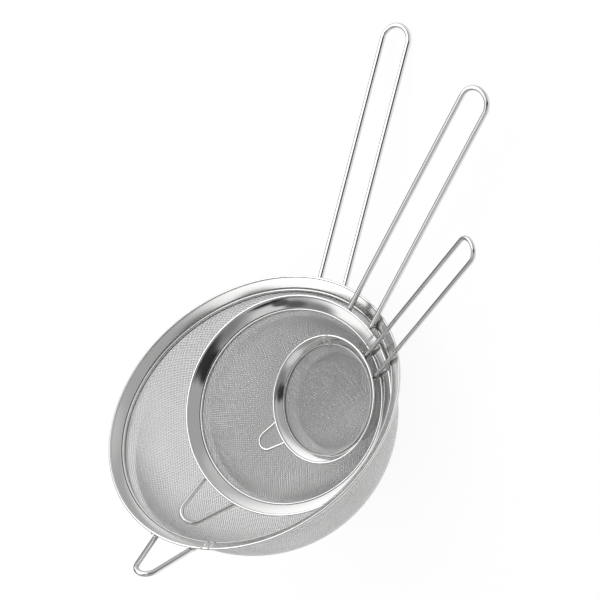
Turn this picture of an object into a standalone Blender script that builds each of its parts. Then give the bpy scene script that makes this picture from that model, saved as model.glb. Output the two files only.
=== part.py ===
"""Nested set of three fine-mesh hand sieves, lying on a table.

Each sieve has a mesh bowl, its hem pinched between the rim's skirt and a clamp ring round it. A plain grid of
ribs and openings stands for the fine mesh. The rim is a sloping sheet with a rolled lip outside and the skirt
turned down inside. A U-shaped wire handle and a V-shaped wire rest hook are welded to the underside of the rim,
opposite each other.
The large sieve lies on its bowl and on the end of its handle. The medium sieve lies in the large bowl with
its handle on the large rim, and the small sieve lies in the medium bowl in the same way.

World frame: +Z up, +X along the large handle, origin where the large bowl touches the table. Metres.
Local frame of a sieve: +Z out of the bowl along its axis, +X towards its handle, origin at the centre of
its rolled lip.
"""
import math
from dataclasses import dataclass

import bpy
import numpy as np
from mathutils import Euler, Matrix, Vector

# Outside diameter of each rolled lip
LARGE_RIM_DIAMETER = 0.200
MEDIUM_RIM_DIAMETER = 0.142
SMALL_RIM_DIAMETER = 0.082

# Width of each sloping rim in plan, from the centre of the lip to its inner edge, and its fall
LARGE_RIM_WIDTH = 0.0069
MEDIUM_RIM_WIDTH = 0.0080
SMALL_RIM_WIDTH = 0.0064
LARGE_RIM_FALL = 0.0056
MEDIUM_RIM_FALL = 0.0045
SMALL_RIM_FALL = 0.0023

# Height of the skirt turned down at each rim's inner edge
LARGE_SKIRT_HEIGHT = 0.0066
MEDIUM_SKIRT_HEIGHT = 0.0032
SMALL_SKIRT_HEIGHT = 0.0041

# Radius of each bowl's round bottom and its depth below the lip, to the middle of the mesh
LARGE_BOWL_RADIUS = 0.0903
MEDIUM_BOWL_RADIUS = 0.0600
SMALL_BOWL_RADIUS = 0.0308
LARGE_BOWL_DEPTH = 0.0925
MEDIUM_BOWL_DEPTH = 0.0672
SMALL_BOWL_DEPTH = 0.0421

# Handles: length of wire from the lip to the end of the loop, spacing of the legs, rise, wire
LARGE_HANDLE_LENGTH = 0.168
MEDIUM_HANDLE_LENGTH = 0.1716
SMALL_HANDLE_LENGTH = 0.1393
LARGE_LEG_SPACING = 0.0202
MEDIUM_LEG_SPACING = 0.0198
SMALL_LEG_SPACING = 0.0152
LARGE_HANDLE_RISE = math.radians(27.7)
MEDIUM_HANDLE_RISE = math.radians(23.6)
SMALL_HANDLE_RISE = math.radians(21.8)
LARGE_HANDLE_WIRE = 0.0035
MEDIUM_HANDLE_WIRE = 0.0035
SMALL_HANDLE_WIRE = 0.0030

# Rest hooks: width at the lip, reach beyond the lip, rise, radius of the tip, wire
LARGE_HOOK_WIDTH = 0.0290
MEDIUM_HOOK_WIDTH = 0.0277
SMALL_HOOK_WIDTH = 0.0157
LARGE_HOOK_REACH = 0.0300
MEDIUM_HOOK_REACH = 0.0274
SMALL_HOOK_REACH = 0.0171
LARGE_HOOK_RISE = math.radians(22.5)
MEDIUM_HOOK_RISE = math.radians(26.1)
SMALL_HOOK_RISE = math.radians(9.4)
LARGE_HOOK_TIP_RADIUS = 0.0060
MEDIUM_HOOK_TIP_RADIUS = 0.0060
SMALL_HOOK_TIP_RADIUS = 0.0042
LARGE_HOOK_WIRE = 0.0035
MEDIUM_HOOK_WIRE = 0.0032
SMALL_HOOK_WIRE = 0.0020

# Sheet, lip, mesh, clamp ring and welds, alike on all three sieves
SHEET_THICKNESS = 0.0006
LIP_RADIUS = 0.0008
CORNER_RADIUS = 0.0008
MESH_THICKNESS = 0.0006
HEM_DROP = 0.0006
CLAMP_HEIGHT = 0.0026
WELD_RADIUS = 0.0008
WELD_LENGTH = 0.0036

# Openings that stand for the fine mesh: columns round each bowl and rings up it, rib share of a cell, edge of
# the solid hub at the bottom, first ring of rib round it, columns that one opening next to the hub spans, and
# lines up the bowl for each column: both edges of its rib and the middle of its opening
LARGE_MESH_COLUMNS = 24
MEDIUM_MESH_COLUMNS = 18
SMALL_MESH_COLUMNS = 12
LARGE_MESH_RINGS = 5
MEDIUM_MESH_RINGS = 4
SMALL_MESH_RINGS = 3
MESH_RIB_SHARE = 0.30
MESH_HUB_ANGLE = math.radians(4)
MESH_CAP_ANGLE = math.radians(12)
MESH_CAP_COLUMNS = 3
LINES_PER_COLUMN = 3

# Clearances: between touching pieces of one sieve, and between one sieve and the next
SEAT_GAP = 0.0003
NEST_BOWL_GAP = 0.0008
NEST_RIM_GAP = 0.0004

# How each nested sieve lies in the one around it: turn of its handle, lean to the side, and the direction
# in which its bowl has sunk (angle from straight down, and turn of that direction), about the outer axis
MEDIUM_TURN = math.radians(-21.6)
MEDIUM_LEAN = math.radians(15.3)
MEDIUM_SINK_TILT = math.radians(46.4)
MEDIUM_SINK_TURN = math.radians(-26.7)
SMALL_TURN = math.radians(-22.5)
SMALL_LEAN = math.radians(-1.3)
SMALL_SINK_TILT = math.radians(53.6)
SMALL_SINK_TURN = math.radians(-32.7)

# How the large sieve lies on the table: its roll about the handle, and the flat worn under its bowl
LARGE_ROLL = math.radians(18.0)
TABLE_FLAT_DEPTH = 0.0003
TABLE_FLAT_REACH = 0.030

# Facets round each rim, round the section of a lip, a corner and a wire, and round a loop's end
LARGE_FACETS = 56
MEDIUM_FACETS = 40
SMALL_FACETS = 32
LIP_FACETS = 6
CORNER_FACETS = 2
LOOP_FACETS = 10
WIRE_BEVEL_RESOLUTION = 2

# Seating search: spacing of tested points along a wire, points round a lip, range and step of the pitch,
# steepest pitch on the table, and rounds of halving
PATH_STEP = 0.0005
LIP_POINTS = 180
HIGHEST_PITCH = math.radians(-50)
LOWEST_PITCH = math.radians(10)
PITCH_STEP = math.radians(1)
STEEPEST_ON_TABLE = math.radians(80)
PITCH_ROUNDS = 40
DEPTH_ROUNDS = 16

STEEL_POLISHED = ("polished_steel", (0.78, 0.78, 0.79, 1.0), 0.12)
STEEL_WIRE = ("bright_wire", (0.74, 0.74, 0.75, 1.0), 0.20)
STEEL_MESH = ("woven_mesh", (0.62, 0.62, 0.63, 1.0), 0.38)
STEEL_CLAMP = ("clamp_steel", (0.66, 0.66, 0.67, 1.0), 0.30)
STEEL_WELD = ("weld_steel", (0.55, 0.55, 0.55, 1.0), 0.45)


@dataclass
class Sieve:
    """Driving sizes of one sieve, with the sizes that follow from them."""

    name: str
    rim_diameter: float
    rim_width: float
    rim_fall: float
    skirt_height: float
    bowl_radius: float
    bowl_depth: float
    handle_length: float
    leg_spacing: float
    handle_rise: float
    handle_wire: float
    hook_width: float
    hook_reach: float
    hook_rise: float
    hook_tip_radius: float
    hook_wire: float
    facets: int
    mesh_columns: int
    mesh_rings: int

    @property
    def lip_circle(self):
        """Radius of the circle through the centre of the rolled lip."""
        return self.rim_diameter / 2 - LIP_RADIUS

    @property
    def inner_radius(self):
        return self.lip_circle - self.rim_width

    @property
    def slope(self):
        """Slope of the rim, down towards the bowl."""
        return math.atan2(self.rim_fall, self.rim_width)

    @property
    def skirt_bottom(self):
        return -self.rim_fall - self.skirt_height

    @property
    def hem_radius(self):
        """Radius of the mesh's hem, at the middle of the mesh: it goes round the skirt."""
        return self.inner_radius + SHEET_THICKNESS / 2 + SEAT_GAP + MESH_THICKNESS / 2

    @property
    def clamp_inside(self):
        return self.hem_radius + MESH_THICKNESS / 2 + SEAT_GAP

    @property
    def bowl_centre_z(self):
        return self.bowl_radius - self.bowl_depth

    def rim_point(self, outward, below):
        """Point (r, z) at a slant distance out from the rim's inner edge and a depth under its sheet."""
        c, s = math.cos(self.slope), math.sin(self.slope)
        return (self.inner_radius + outward * c + below * s, -self.rim_fall + outward * s - below * c)

    def under_rim(self, x, y, below):
        """Point under the sloping rim at plan place x, y, at a depth square to the sheet's middle."""
        fall = (self.lip_circle - math.hypot(x, y)) * math.tan(self.slope)
        return Vector((x, y, -fall - below / math.cos(self.slope)))


LARGE = Sieve(
    "large", LARGE_RIM_DIAMETER, LARGE_RIM_WIDTH, LARGE_RIM_FALL, LARGE_SKIRT_HEIGHT, LARGE_BOWL_RADIUS,
    LARGE_BOWL_DEPTH, LARGE_HANDLE_LENGTH, LARGE_LEG_SPACING, LARGE_HANDLE_RISE, LARGE_HANDLE_WIRE,
    LARGE_HOOK_WIDTH, LARGE_HOOK_REACH, LARGE_HOOK_RISE, LARGE_HOOK_TIP_RADIUS, LARGE_HOOK_WIRE, LARGE_FACETS,
    LARGE_MESH_COLUMNS, LARGE_MESH_RINGS)
MEDIUM = Sieve(
    "medium", MEDIUM_RIM_DIAMETER, MEDIUM_RIM_WIDTH, MEDIUM_RIM_FALL, MEDIUM_SKIRT_HEIGHT, MEDIUM_BOWL_RADIUS,
    MEDIUM_BOWL_DEPTH, MEDIUM_HANDLE_LENGTH, MEDIUM_LEG_SPACING, MEDIUM_HANDLE_RISE, MEDIUM_HANDLE_WIRE,
    MEDIUM_HOOK_WIDTH, MEDIUM_HOOK_REACH, MEDIUM_HOOK_RISE, MEDIUM_HOOK_TIP_RADIUS, MEDIUM_HOOK_WIRE,
    MEDIUM_FACETS, MEDIUM_MESH_COLUMNS, MEDIUM_MESH_RINGS)
SMALL = Sieve(
    "small", SMALL_RIM_DIAMETER, SMALL_RIM_WIDTH, SMALL_RIM_FALL, SMALL_SKIRT_HEIGHT, SMALL_BOWL_RADIUS,
    SMALL_BOWL_DEPTH, SMALL_HANDLE_LENGTH, SMALL_LEG_SPACING, SMALL_HANDLE_RISE, SMALL_HANDLE_WIRE,
    SMALL_HOOK_WIDTH, SMALL_HOOK_REACH, SMALL_HOOK_RISE, SMALL_HOOK_TIP_RADIUS, SMALL_HOOK_WIRE, SMALL_FACETS,
    SMALL_MESH_COLUMNS, SMALL_MESH_RINGS)


# Depth of a weld bead's middle under the middle of the rim's sheet
WELD_BELOW = SHEET_THICKNESS / 2 + SEAT_GAP + WELD_RADIUS


def wire_below(wire):
    """Depth of a welded wire's middle under the sheet: it clears the rolled lip."""
    return wire / 2 + LIP_RADIUS + SEAT_GAP


def round_bead(centre, radius, start, stop, facets):
    """Points round part of a circle, from one angle to another."""
    angles = np.linspace(start, stop, facets + 1)
    return [(centre[0] + radius * math.cos(a), centre[1] + radius * math.sin(a)) for a in angles]


def offset_line(line, distance):
    """Line moved sideways by a distance, to the left of its direction, with mitred corners."""
    step = np.diff(line, axis=0)
    step /= np.linalg.norm(step, axis=1)[:, None]
    normal = np.stack([-step[:, 1], step[:, 0]], axis=1)
    before = np.vstack([normal[:1], normal])
    after = np.vstack([normal, normal[-1:]])
    mitre = before + after
    mitre /= np.sum(mitre * before, axis=1)[:, None]
    return line + distance * mitre


def rim_middle(s):
    """Middle line of the rim's sheet: from the lip's centre, round the inner corner and down the skirt."""
    drop = CORNER_RADIUS * math.tan(math.pi / 4 - s.slope / 2)
    centre = (s.inner_radius + CORNER_RADIUS, -s.rim_fall - drop)
    bend = round_bead(centre, CORNER_RADIUS, math.pi / 2 + s.slope, math.pi, CORNER_FACETS)
    return np.array([(s.lip_circle, 0)] + bend + [(s.inner_radius, s.skirt_bottom)])


def rim_profile(s):
    """Section of the rim: rolled lip, sloping sheet and the skirt turned down at its inner edge."""
    half = SHEET_THICKNESS / 2
    inward = math.pi + s.slope
    join = math.asin(half / LIP_RADIUS)
    lip = round_bead((s.lip_circle, 0), LIP_RADIUS, inward + join, inward + 2 * math.pi - join, LIP_FACETS)
    middle = rim_middle(s)
    inside = [tuple(p) for p in offset_line(middle, -half)[1:]]
    outside = [tuple(p) for p in offset_line(middle, half)[1:]]
    return list(reversed(lip + inside + outside[::-1]))


def clamp_profile(s):
    """Section of the clamp ring, an upright strip round the mesh's hem."""
    top = -s.rim_fall - HEM_DROP
    bottom = top - CLAMP_HEIGHT
    outside = s.clamp_inside + SHEET_THICKNESS
    return [(s.clamp_inside, top), (outside, top), (outside, bottom), (s.clamp_inside, bottom)]


def bowl_middle(s):
    """Middle line of the mesh as (r, z), up from the hub's edge, and the columns that an opening spans there.

    Each stretch of the line has one number of columns. A stretch of rib, shoulder or hem spans 0 of them.
    """
    hem_bottom = s.skirt_bottom - SEAT_GAP
    wall_top_z = hem_bottom - (s.hem_radius - s.bowl_radius)
    top = math.pi / 2 - math.asin(max(0.0, (s.bowl_centre_z - wall_top_z) / s.bowl_radius))
    step = (top - MESH_CAP_ANGLE) / s.mesh_rings
    half_rib = MESH_RIB_SHARE * step / 2
    angles = [MESH_HUB_ANGLE]
    spans = []
    for ring in range(s.mesh_rings + 1):
        rib = MESH_CAP_ANGLE + ring * step
        opening = 1 if ring else MESH_CAP_COLUMNS
        angles += [(angles[-1] + rib - half_rib) / 2, rib - half_rib, min(rib + half_rib, top)]
        spans += [opening, opening, 0]
    line = [(s.bowl_radius * math.sin(a), s.bowl_centre_z - s.bowl_radius * math.cos(a)) for a in angles]
    if s.bowl_centre_z < wall_top_z:
        line.append((s.bowl_radius, wall_top_z))
        spans.append(0)
    line += [(s.hem_radius, hem_bottom), (s.hem_radius, -s.rim_fall - HEM_DROP)]
    return line, spans + [0, 0]


def mesh_turns(s, first_rib):
    """Turns of the lines up the mesh, from one edge of the first rib all the way round."""
    column = 2 * math.pi / s.mesh_columns
    half_rib = MESH_RIB_SHARE * column / 2
    parts = (-half_rib, half_rib, column / 2)
    return [first_rib + column * k + part for k in range(s.mesh_columns) for part in parts]


def bowl_faces(s, spans):
    """Faces of the mesh's middle surface without its openings: point 0 is the pole, then rings of points."""
    count = LINES_PER_COLUMN * s.mesh_columns
    faces = [(0, 1 + (j + 1) % count, 1 + j) for j in range(count)]
    for i, span in enumerate(spans):
        for j in range(count):
            if span == 0 or j % (LINES_PER_COLUMN * span) == 0:
                low, next_low = 1 + i * count + j, 1 + i * count + (j + 1) % count
                faces.append((low, next_low, next_low + count, low + count))
    return faces


def bend_under_lip(s, wire, rise):
    """Where a wire bends as it passes under the lip: distance out from the lip's circle, and height."""
    middle = (s.slope + rise) / 2
    reach = wire_below(wire) / math.cos((s.slope - rise) / 2)
    return reach * math.sin(middle), -reach * math.cos(middle)


def root_radius(s, wire):
    """Distance from the axis to the inner end of a welded wire, clear of the clamp ring."""
    outward = (s.clamp_inside + SHEET_THICKNESS - s.inner_radius) / math.cos(s.slope) + SEAT_GAP
    return s.rim_point(outward, wire_below(wire))[0]


def handle_leg(s):
    """One leg of the handle at +Y: inner end, bend under the lip and start of the loop."""
    y = s.leg_spacing / 2
    out, z = bend_under_lip(s, s.handle_wire, s.handle_rise)
    inner = s.under_rim(math.sqrt(root_radius(s, s.handle_wire) ** 2 - y * y), y, wire_below(s.handle_wire))
    bend = Vector((math.sqrt(s.lip_circle ** 2 - y * y) + out, y, z))
    along = Vector((math.cos(s.handle_rise), 0, math.sin(s.handle_rise)))
    loop_start = bend + along * (s.handle_length - y)
    return inner, bend, loop_start, along


def mirrored(points):
    """The points' mirror images across the XZ plane."""
    return [Vector((p.x, -p.y, p.z)) for p in points]


def handle_path(s):
    """Middle line of the handle wire: a leg, half the round end, and the same mirrored."""
    inner, bend, loop_start, along = handle_leg(s)
    y = s.leg_spacing / 2
    centre = Vector((loop_start.x, 0, loop_start.z))
    quarter = np.linspace(0, math.pi / 2, LOOP_FACETS // 2, endpoint=False)
    loop = [centre + along * (y * math.sin(a)) + Vector((0, y * math.cos(a), 0)) for a in quarter]
    tip = centre + along * y
    half = [inner, bend] + loop
    return half + [tip] + mirrored(reversed(half))


def hook_plan(s):
    """Plan of one hook leg at +Y: where it crosses the lip, its direction, and the tip's arc."""
    half_width = s.hook_width / 2
    lip = Vector((-math.sqrt(s.lip_circle ** 2 - half_width ** 2), half_width))
    centre = Vector((-(s.rim_diameter / 2 + s.hook_reach - s.hook_wire / 2 - s.hook_tip_radius), 0))
    to_centre = centre - lip
    lean = math.asin(min(1.0, s.hook_tip_radius / to_centre.length))
    heading = math.atan2(to_centre.y, to_centre.x) - lean
    return lip, Vector((math.cos(heading), math.sin(heading))), centre, heading


def hook_path(s):
    """Middle line of the hook wire: a leg under the rim and out to the round tip, and the same mirrored."""
    lip, along, centre, heading = hook_plan(s)
    out, z = bend_under_lip(s, s.hook_wire, s.hook_rise)
    bend = lip + along * out
    square = max(0.5, along.dot(lip.normalized()))
    skew = math.sqrt(1 - square * square)
    root_length = (s.lip_circle - root_radius(s, s.hook_wire) - skew * s.hook_wire / 2) / square
    root = lip - along * root_length

    def raised(plan):
        return Vector((plan.x, plan.y, z + (bend.x - plan.x) * math.tan(s.hook_rise)))

    arc = [centre + Vector((math.cos(a), math.sin(a))) * s.hook_tip_radius
           for a in np.linspace(heading + 3 * math.pi / 2, math.pi, LOOP_FACETS // 2, endpoint=False)]
    half = [s.under_rim(root.x, root.y, wire_below(s.hook_wire)), Vector((bend.x, bend.y, z))]
    half += [raised(p) for p in arc]
    end = raised(centre - Vector((s.hook_tip_radius, 0)))
    return half + [end] + mirrored(reversed(half))


def weld_path(s, root, lip, wire, side):
    """Middle line of a weld bead lying beside a wire's root, on its outer side, under the rim."""
    apart = wire / 2 + WELD_RADIUS + SEAT_GAP
    drop = wire_below(wire) - WELD_BELOW
    sideways = math.sqrt(max(apart * apart - drop * drop, (wire / 2) ** 2)) + SEAT_GAP
    along = (lip - root).normalized()
    across = Vector((-along.y, along.x)) * side
    start = root + across * sideways
    ends = [start, start + along * WELD_LENGTH * math.cos(s.slope)]
    return [s.under_rim(p.x, p.y, WELD_BELOW) for p in ends]


def weld_paths(s):
    """Named weld beads of one sieve: one beside each root of the handle and of the hook."""
    inner, bend, _, _ = handle_leg(s)
    hook = hook_path(s)
    roots = {
        "handle_weld_left": (inner.xy, bend.xy, s.handle_wire, 1),
        "hook_weld_left": (hook[0].xy, hook[1].xy, s.hook_wire, -1),
    }
    beads = {}
    for name, (root, lip, wire, side) in roots.items():
        bead = weld_path(s, root, lip, wire, side)
        beads[name] = bead
        beads[name.replace("left", "right")] = mirrored(bead)
    return beads


def line_gap(points, start, end):
    """Distance from points to the line between two points of a section."""
    along = end - start
    share = np.clip((points - start) @ along / (along @ along), 0, 1)
    return np.linalg.norm(points - start - share[:, None] * along, axis=1)


def rim_gap(s, points):
    """Distance from points in a sieve's frame to its rim: lip, sloping sheet and skirt."""
    section = np.stack([np.hypot(points[:, 0], points[:, 1]), points[:, 2]], axis=1)
    lip = np.array([s.lip_circle, 0])
    inner = np.array([s.inner_radius, -s.rim_fall])
    bottom = np.array([s.inner_radius, s.skirt_bottom])
    sheet = np.minimum(line_gap(section, lip, inner), line_gap(section, inner, bottom)) - SHEET_THICKNESS / 2
    rolled = np.linalg.norm(section - lip, axis=1) - LIP_RADIUS
    return np.minimum(sheet, rolled)


def wall_gap(s, points):
    """Distance from points inside a sieve's bowl to its mesh; points above the rim's inner edge are free."""
    deep = np.minimum(points[:, 2] - s.bowl_centre_z, 0)
    reach = np.sqrt(points[:, 0] ** 2 + points[:, 1] ** 2 + deep ** 2)
    inside = s.bowl_radius - MESH_THICKNESS / 2
    return np.where(points[:, 2] < -s.rim_fall, inside - reach, np.inf)


def fine_path(path):
    """A path's points with straight stretches filled in at a small step."""
    points = [np.array(p) for p in path]
    filled = []
    for a, b in zip(points, points[1:]):
        count = max(2, int(np.linalg.norm(b - a) / PATH_STEP))
        filled.append(a + np.linspace(0, 1, count, endpoint=False)[:, None] * (b - a))
    return np.vstack(filled + [points[-1][None]])


def lip_points(s):
    turn = np.linspace(0, 2 * math.pi, LIP_POINTS, endpoint=False)
    return np.stack([s.lip_circle * np.cos(turn), s.lip_circle * np.sin(turn), 0 * turn], axis=1)


def moved(matrix, points):
    m = np.array(matrix)
    return points @ m[:3, :3].T + m[:3, 3]


def bisect(clear, low, high, rounds):
    """Last value, going from low to high, at which clear(value) still holds."""
    for _ in range(rounds):
        middle = (low + high) / 2
        if clear(middle):
            low = middle
        else:
            high = middle
    return low


def seat(child, outer, turn, lean, sink_tilt, sink_turn):
    """Pose of a sieve nested in the frame of the sieve around it.

    outer lists the sieves around it with their frames seen from the nearest one, nearest first. The bowl
    sinks in the given direction until bowl, lip or hook meets the outer bowl, and the handle is lowered
    about the bowl's centre until it meets an outer rim.
    """
    nearest = outer[0][0]
    sink = Vector((math.sin(sink_tilt) * math.cos(sink_turn), math.sin(sink_tilt) * math.sin(sink_turn),
                   -math.cos(sink_tilt)))
    handle = fine_path(handle_path(child)[: LOOP_FACETS // 2 + 2])
    handle = np.vstack([handle, handle * [1, -1, 1]])
    hook = fine_path(hook_path(child))
    lip = lip_points(child)
    bowl = child.bowl_radius + MESH_THICKNESS / 2
    room = nearest.bowl_radius - MESH_THICKNESS / 2 - NEST_BOWL_GAP - bowl

    def pose(depth, pitch):
        turned = Euler((lean, pitch, turn), "XYZ").to_matrix().to_4x4()
        centre = Vector((0, 0, nearest.bowl_centre_z)) + sink * depth
        return Matrix.Translation(centre) @ turned @ Matrix.Translation((0, 0, -child.bowl_centre_z))

    def handle_clear(depth, pitch):
        for sieve, frame in outer:
            gap = rim_gap(sieve, moved(frame @ pose(depth, pitch), handle))
            if gap.min() < child.handle_wire / 2 + NEST_RIM_GAP:
                return False
        return True

    def lowered(depth):
        steps = np.arange(HIGHEST_PITCH, LOWEST_PITCH, PITCH_STEP)
        first = next((p for p in steps if not handle_clear(depth, p)), LOWEST_PITCH)
        return bisect(lambda pitch: handle_clear(depth, pitch), first - PITCH_STEP, first, PITCH_ROUNDS)

    def body_clear(depth):
        matrix = pose(depth, lowered(depth))
        for points, radius in ((moved(matrix, lip), LIP_RADIUS), (moved(matrix, hook), child.hook_wire / 2)):
            gap = np.minimum(rim_gap(nearest, points), wall_gap(nearest, points))
            if gap.min() < radius + NEST_RIM_GAP:
                return False
        return True

    depth = room if body_clear(room) else bisect(body_clear, 0.0, room, DEPTH_ROUNDS)
    return pose(depth, lowered(depth))


def rest_on_table(s):
    """Pose of the large sieve: bowl and handle loop both on the table, rolled a little about the handle."""
    path = fine_path(handle_path(s))
    touch = s.bowl_radius + MESH_THICKNESS / 2 - TABLE_FLAT_DEPTH

    def pose(pitch):
        turned = Matrix.Rotation(pitch, 4, "Y") @ Matrix.Rotation(LARGE_ROLL, 4, "X")
        lift = Matrix.Translation((0, 0, touch))
        return lift @ turned @ Matrix.Translation((0, 0, -s.bowl_centre_z))

    def above(pitch):
        return moved(pose(pitch), path)[:, 2].min() > s.handle_wire / 2

    return pose(bisect(above, 0.0, STEEPEST_ON_TABLE, PITCH_ROUNDS))


def material(finish):
    """Metal with a colour and a roughness."""
    name, colour, roughness = finish
    made = bpy.data.materials.new(name)
    made.use_nodes = True
    shader = made.node_tree.nodes["Principled BSDF"]
    shader.inputs["Base Color"].default_value = colour
    shader.inputs["Roughness"].default_value = roughness
    shader.inputs["Metallic"].default_value = 1.0
    return made


def add_object(name, data, parent, finish):
    made = bpy.data.objects.new(name, data)
    bpy.context.scene.collection.objects.link(made)
    made.parent = parent
    if finish is not None:
        data.materials.append(finish)
    return made


def turned(name, profile, facets, parent, finish):
    """Solid of revolution: the closed profile screwed once round the local Z axis."""
    mesh = bpy.data.meshes.new(name)
    count = len(profile)
    mesh.from_pydata([(r, 0, z) for r, z in profile], [(i, (i + 1) % count) for i in range(count)], [])
    made = add_object(name, mesh, parent, finish)
    screw = made.modifiers.new("turn", "SCREW")
    screw.axis = "Z"
    screw.angle = 2 * math.pi
    screw.steps = facets
    screw.render_steps = facets
    screw.use_merge_vertices = True
    screw.merge_threshold = 0.000001
    screw.use_smooth_shade = True
    return made


def mesh_bowl(s, first_rib, parent, finish):
    """Bowl of ribs and openings, thickened from its middle surface, with a rib at the given turn."""
    name = f"{s.name}_mesh_bowl"
    line, spans = bowl_middle(s)
    turns = mesh_turns(s, first_rib)
    points = [(0, 0, -s.bowl_depth)] + [(r * math.cos(a), r * math.sin(a), z) for r, z in line for a in turns]
    faces = bowl_faces(s, spans)
    used = sorted({corner for face in faces for corner in face})
    number = {corner: k for k, corner in enumerate(used)}
    mesh = bpy.data.meshes.new(name)
    mesh.from_pydata([points[k] for k in used], [], [[number[corner] for corner in face] for face in faces])
    made = add_object(name, mesh, parent, finish)
    shell = made.modifiers.new("mesh_thickness", "SOLIDIFY")
    shell.thickness = MESH_THICKNESS
    shell.offset = 0
    shell.use_even_offset = True
    return made


def wire(name, path, diameter, parent, finish):
    """Round wire along a path, closed at both ends."""
    curve = bpy.data.curves.new(name, "CURVE")
    curve.dimensions = "3D"
    curve.bevel_depth = diameter / 2
    curve.bevel_resolution = WIRE_BEVEL_RESOLUTION
    curve.use_fill_caps = True
    spline = curve.splines.new("POLY")
    spline.points.add(len(path) - 1)
    for point, place in zip(spline.points, path):
        point.co = (*place, 1)
    return add_object(name, curve, parent, finish)


def frame_empty(name, matrix, parent):
    made = bpy.data.objects.new(name, None)
    bpy.context.scene.collection.objects.link(made)
    made.parent = parent
    made.matrix_local = matrix
    return made


def flatten_on_table(bowl):
    """Cut the bowl flat where it lies on the table."""
    cutter_mesh = bpy.data.meshes.new("table_cutter")
    low, high = -TABLE_FLAT_REACH / 2, 0.0
    corners = [(x * TABLE_FLAT_REACH, y * TABLE_FLAT_REACH, z)
               for z in (low, high) for x, y in ((-1, -1), (1, -1), (1, 1), (-1, 1))]
    faces = [(3, 2, 1, 0), (4, 5, 6, 7), (0, 1, 5, 4), (1, 2, 6, 5), (2, 3, 7, 6), (3, 0, 4, 7)]
    cutter_mesh.from_pydata(corners, [], faces)
    cutter = add_object("table_cutter", cutter_mesh, None, None)
    cutter.hide_render = True
    cutter.display_type = "WIRE"
    cut = bowl.modifiers.new("table_flat", "BOOLEAN")
    cut.operation = "DIFFERENCE"
    cut.solver = "EXACT"
    cut.object = cutter


def add_sieve(s, first_rib, frame, finishes):
    """All pieces of one sieve, placed by its frame."""
    turned(f"{s.name}_rim_band", rim_profile(s), s.facets, frame, finishes[STEEL_POLISHED])
    turned(f"{s.name}_clamp_ring", clamp_profile(s), s.facets, frame, finishes[STEEL_CLAMP])
    bowl = mesh_bowl(s, first_rib, frame, finishes[STEEL_MESH])
    wire(f"{s.name}_handle", handle_path(s), s.handle_wire, frame, finishes[STEEL_WIRE])
    wire(f"{s.name}_hook", hook_path(s), s.hook_wire, frame, finishes[STEEL_WIRE])
    for name, path in weld_paths(s).items():
        wire(f"{s.name}_{name}", path, 2 * WELD_RADIUS, frame, finishes[STEEL_WELD])
    return bowl


def main():
    for old in list(bpy.data.objects):
        bpy.data.objects.remove(old)
    steels = (STEEL_POLISHED, STEEL_WIRE, STEEL_MESH, STEEL_CLAMP, STEEL_WELD)
    finishes = {finish: material(finish) for finish in steels}
    large_pose = rest_on_table(LARGE)
    medium_pose = seat(MEDIUM, [(LARGE, Matrix.Identity(4))], MEDIUM_TURN, MEDIUM_LEAN,
                       MEDIUM_SINK_TILT, MEDIUM_SINK_TURN)
    small_pose = seat(SMALL, [(MEDIUM, Matrix.Identity(4)), (LARGE, medium_pose)], SMALL_TURN, SMALL_LEAN,
                      SMALL_SINK_TILT, SMALL_SINK_TURN)
    large_frame = frame_empty("large_sieve", large_pose, None)
    medium_frame = frame_empty("medium_sieve", medium_pose, large_frame)
    small_frame = frame_empty("small_sieve", small_pose, medium_frame)
    down = large_pose.to_3x3().inverted() @ Vector((0, 0, -1))
    large_bowl = add_sieve(LARGE, math.atan2(down.y, down.x), large_frame, finishes)
    add_sieve(MEDIUM, 0.0, medium_frame, finishes)
    add_sieve(SMALL, 0.0, small_frame, finishes)
    flatten_on_table(large_bowl)


main()
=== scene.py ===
"""Nested set of three fine-mesh hand sieves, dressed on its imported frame.

Every piece is a surface worked out in the local frame of its sieve and put where the CAD node stands. The
local frame of a sieve, in metres: +Z out of the bowl along its axis, +X towards its handle, origin at the
centre of its rolled lip.
"""
import math

import bpy
import numpy as np
from bpy.props import FloatProperty, FloatVectorProperty, IntProperty, PointerProperty
from bpy.types import Operator, Panel, PropertyGroup
from mathutils import Matrix, Vector


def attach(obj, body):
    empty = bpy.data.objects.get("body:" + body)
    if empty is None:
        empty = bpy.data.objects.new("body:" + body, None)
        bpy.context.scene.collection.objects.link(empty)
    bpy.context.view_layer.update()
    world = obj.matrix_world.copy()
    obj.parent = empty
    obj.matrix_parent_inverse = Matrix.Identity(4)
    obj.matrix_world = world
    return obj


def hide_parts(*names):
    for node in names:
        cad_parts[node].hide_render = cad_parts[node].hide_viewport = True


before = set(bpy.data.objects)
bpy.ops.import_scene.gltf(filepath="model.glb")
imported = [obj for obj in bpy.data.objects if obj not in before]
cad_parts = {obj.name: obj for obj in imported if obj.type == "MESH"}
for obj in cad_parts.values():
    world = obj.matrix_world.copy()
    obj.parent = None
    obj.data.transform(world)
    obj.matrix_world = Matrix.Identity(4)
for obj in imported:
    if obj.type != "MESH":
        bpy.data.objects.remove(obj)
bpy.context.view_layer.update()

bl_info = {
    "name": "Nested hand sieves",
    "version": (1, 0, 0),
    "blender": (4, 5, 0),
    "location": "3D View > Sidebar > Sieves",
    "description": "Three woven-wire hand sieves lying in each other, with their studio",
    "category": "Object",
}

SIEVES = ("large", "medium", "small")

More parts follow.
